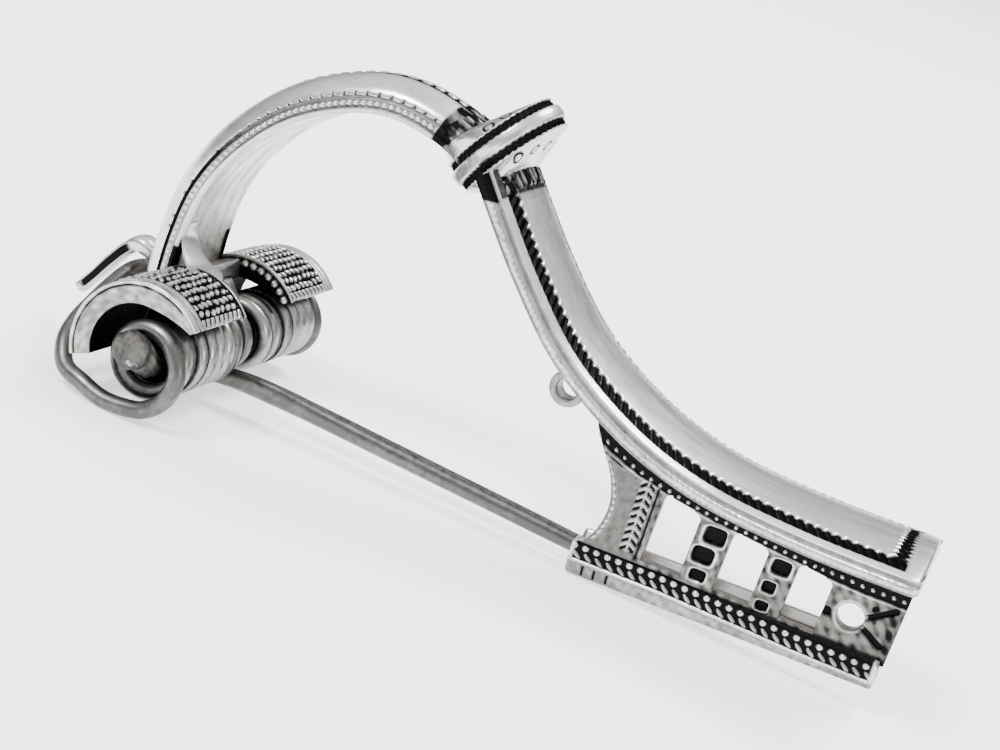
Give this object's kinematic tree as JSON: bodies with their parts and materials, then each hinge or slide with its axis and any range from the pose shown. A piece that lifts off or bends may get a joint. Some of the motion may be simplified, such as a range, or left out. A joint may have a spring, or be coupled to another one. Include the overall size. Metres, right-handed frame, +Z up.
{
  "type": "fibula brooch",
  "caption": "Arched silver bow brooch with a disc collar, openwork catch-plate, covered coil spring and sprung pin.",
  "frame": {"origin": "middle of the brooch's footprint, on the surface that it stands on", "axes": "+X from the hook to the foot's end, +Y along the spring, +Z up, with the brooch standing on its end loops and the tray's front corner"},
  "size_m": [0.0678, 0.0278, 0.0312],
  "materials": {
    "silver": "worn, softly polished silver with black niello and patina in the recesses",
    "silver_wire": "drawn silver wire, darker between the turns",
    "iron": "rough, corroded"
  },
  "bodies": {
    "brooch": {"body": "silver", "spring": "silver_wire", "axis_rod": "iron"},
    "pin": {"pin": "silver_wire"}
  },
  "joints": [
    {"name": "pin_lift", "type": "hinge", "parent": "brooch", "child": "pin", "pos_m": [-0.0213, 0, 0.00442], "axis": [0, -1, 0], "range_deg": [0, 10], "stiffness_Nm_per_rad": 0.02, "springref_deg": -14.32}
  ]
}
